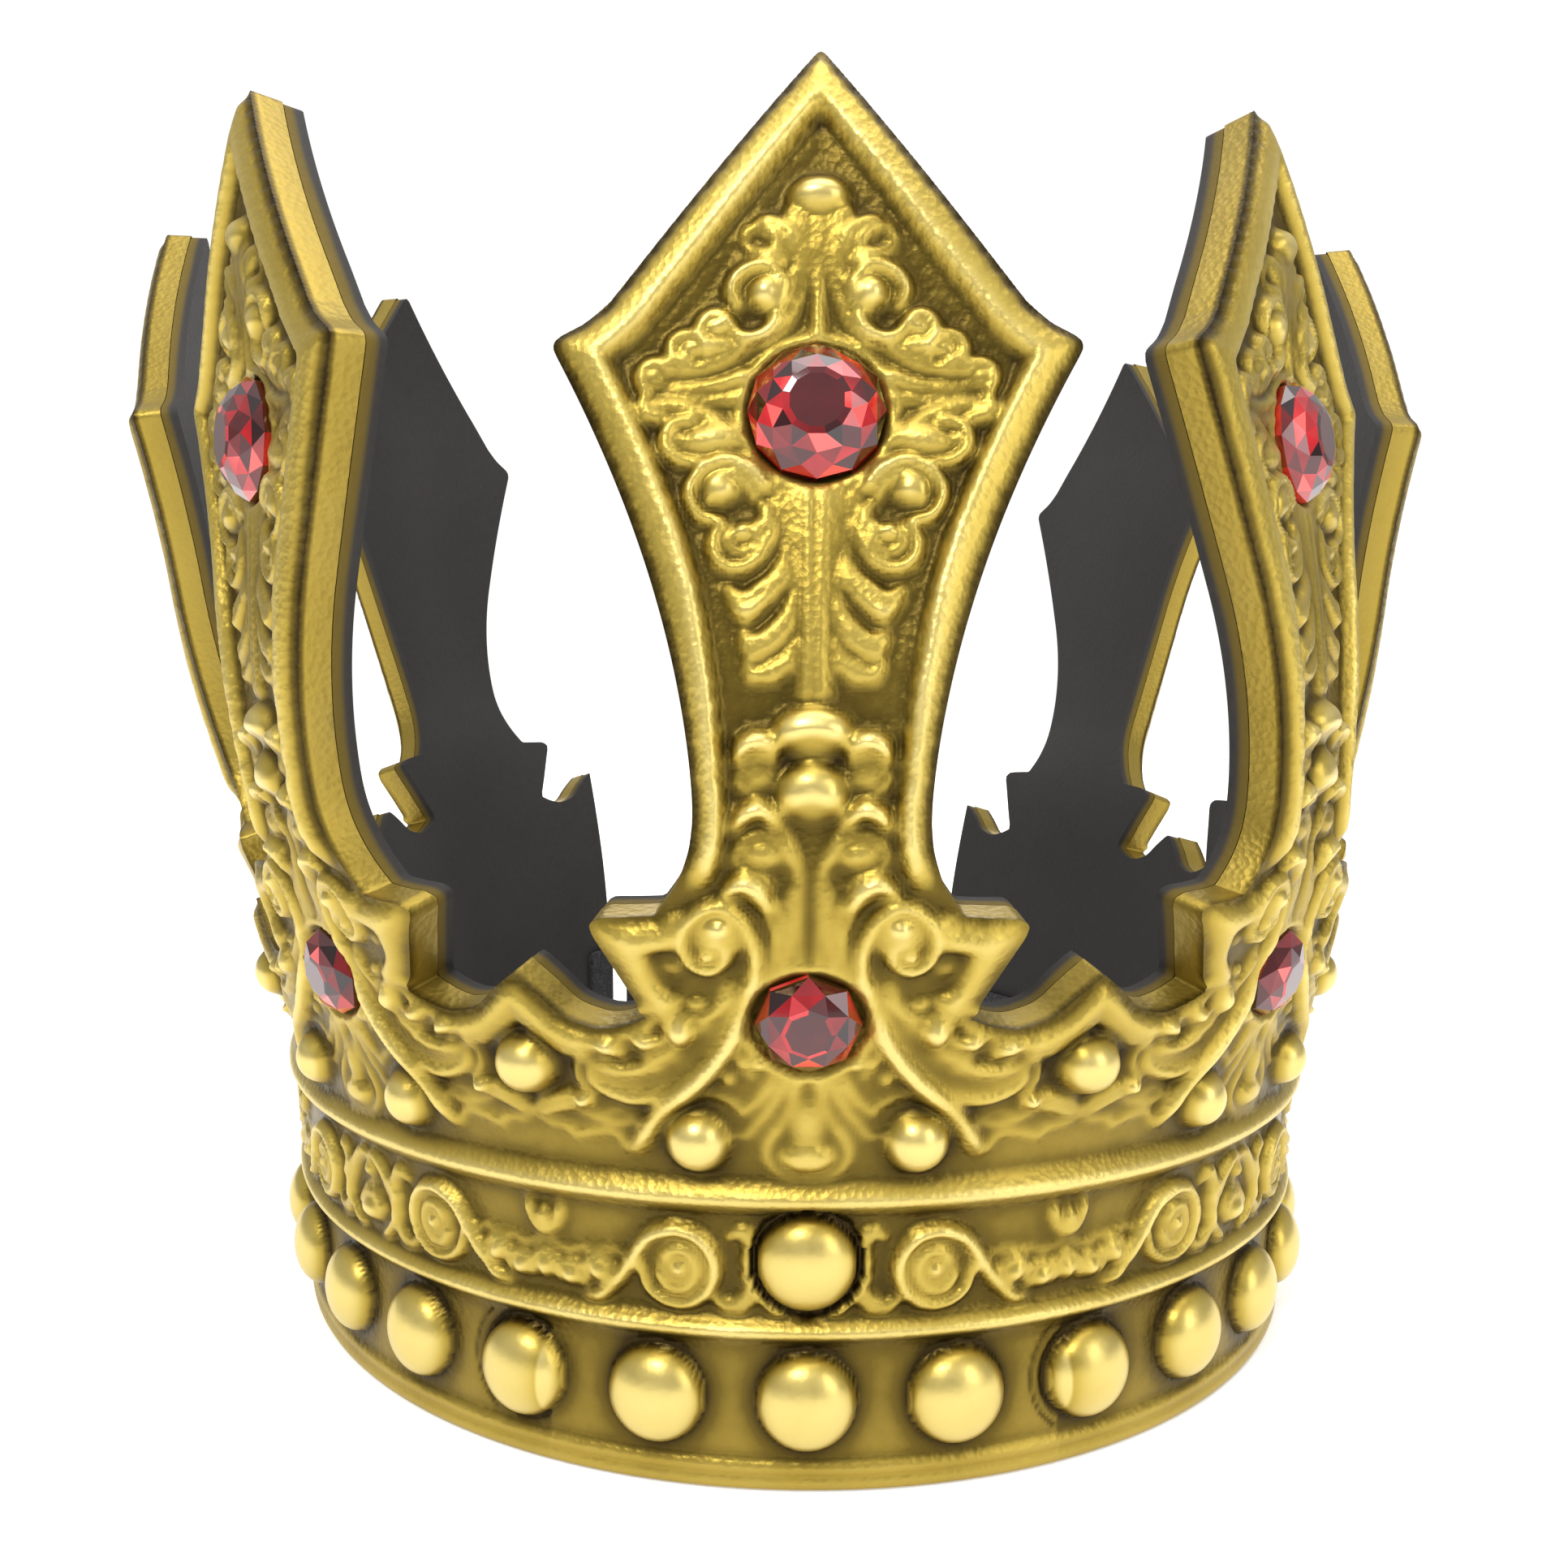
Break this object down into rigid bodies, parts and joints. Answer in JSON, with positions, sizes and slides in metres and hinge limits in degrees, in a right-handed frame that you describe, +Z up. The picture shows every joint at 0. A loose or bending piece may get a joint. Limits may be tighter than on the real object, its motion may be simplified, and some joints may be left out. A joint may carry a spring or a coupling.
{
  "type": "costume crown",
  "caption": "Costume crown: bent moulded-foam ring of tall pointed spires with cut red gems, black foam lining and a hook-and-loop strap across the rear gap.",
  "frame": {"origin": "middle of the crown's footprint, on the surface it stands on", "axes": "+Z up, -Y towards the front spire, +X to the right of the front view"},
  "size_m": [0.2686, 0.2708, 0.2271],
  "materials": {
    "gold_relief": "metallic antique gold paint over moulded foam, fine grain",
    "black_foam": "matte charcoal closed-cell foam",
    "ruby_gem": "faceted transparent red acrylic with a foil back",
    "strap_webbing": "woven elastic webbing",
    "hook_and_loop": "black hook-and-loop tape"
  },
  "bodies": {
    "crown": {"band_gem_1": "ruby_gem", "band_gem_2": "ruby_gem", "band_gem_3": "ruby_gem", "band_gem_4": "ruby_gem", "band_gem_5": "ruby_gem", "band_gem_6": "ruby_gem", "band_gem_7": "ruby_gem", "crown_backing": "black_foam", "crown_face": "gold_relief", "loop_pad": "hook_and_loop", "spire_gem_1": "ruby_gem", "spire_gem_2": "ruby_gem", "spire_gem_3": "ruby_gem", "spire_gem_4": "ruby_gem", "spire_gem_5": "ruby_gem", "spire_gem_6": "ruby_gem", "spire_gem_7": "ruby_gem", "strap_anchor_patch": "hook_and_loop"},
    "closure": {"closure_strap": "strap_webbing", "strap_sleeve": "hook_and_loop", "strap_hook_pad": "hook_and_loop"}
  },
  "joints": [
    {"name": "closure_swing", "type": "hinge", "parent": "crown", "child": "closure", "pos_m": [-0.04568, 0.09671, 0.0256], "axis": [0, 0, 1], "range_deg": [-90, 45]}
  ]
}
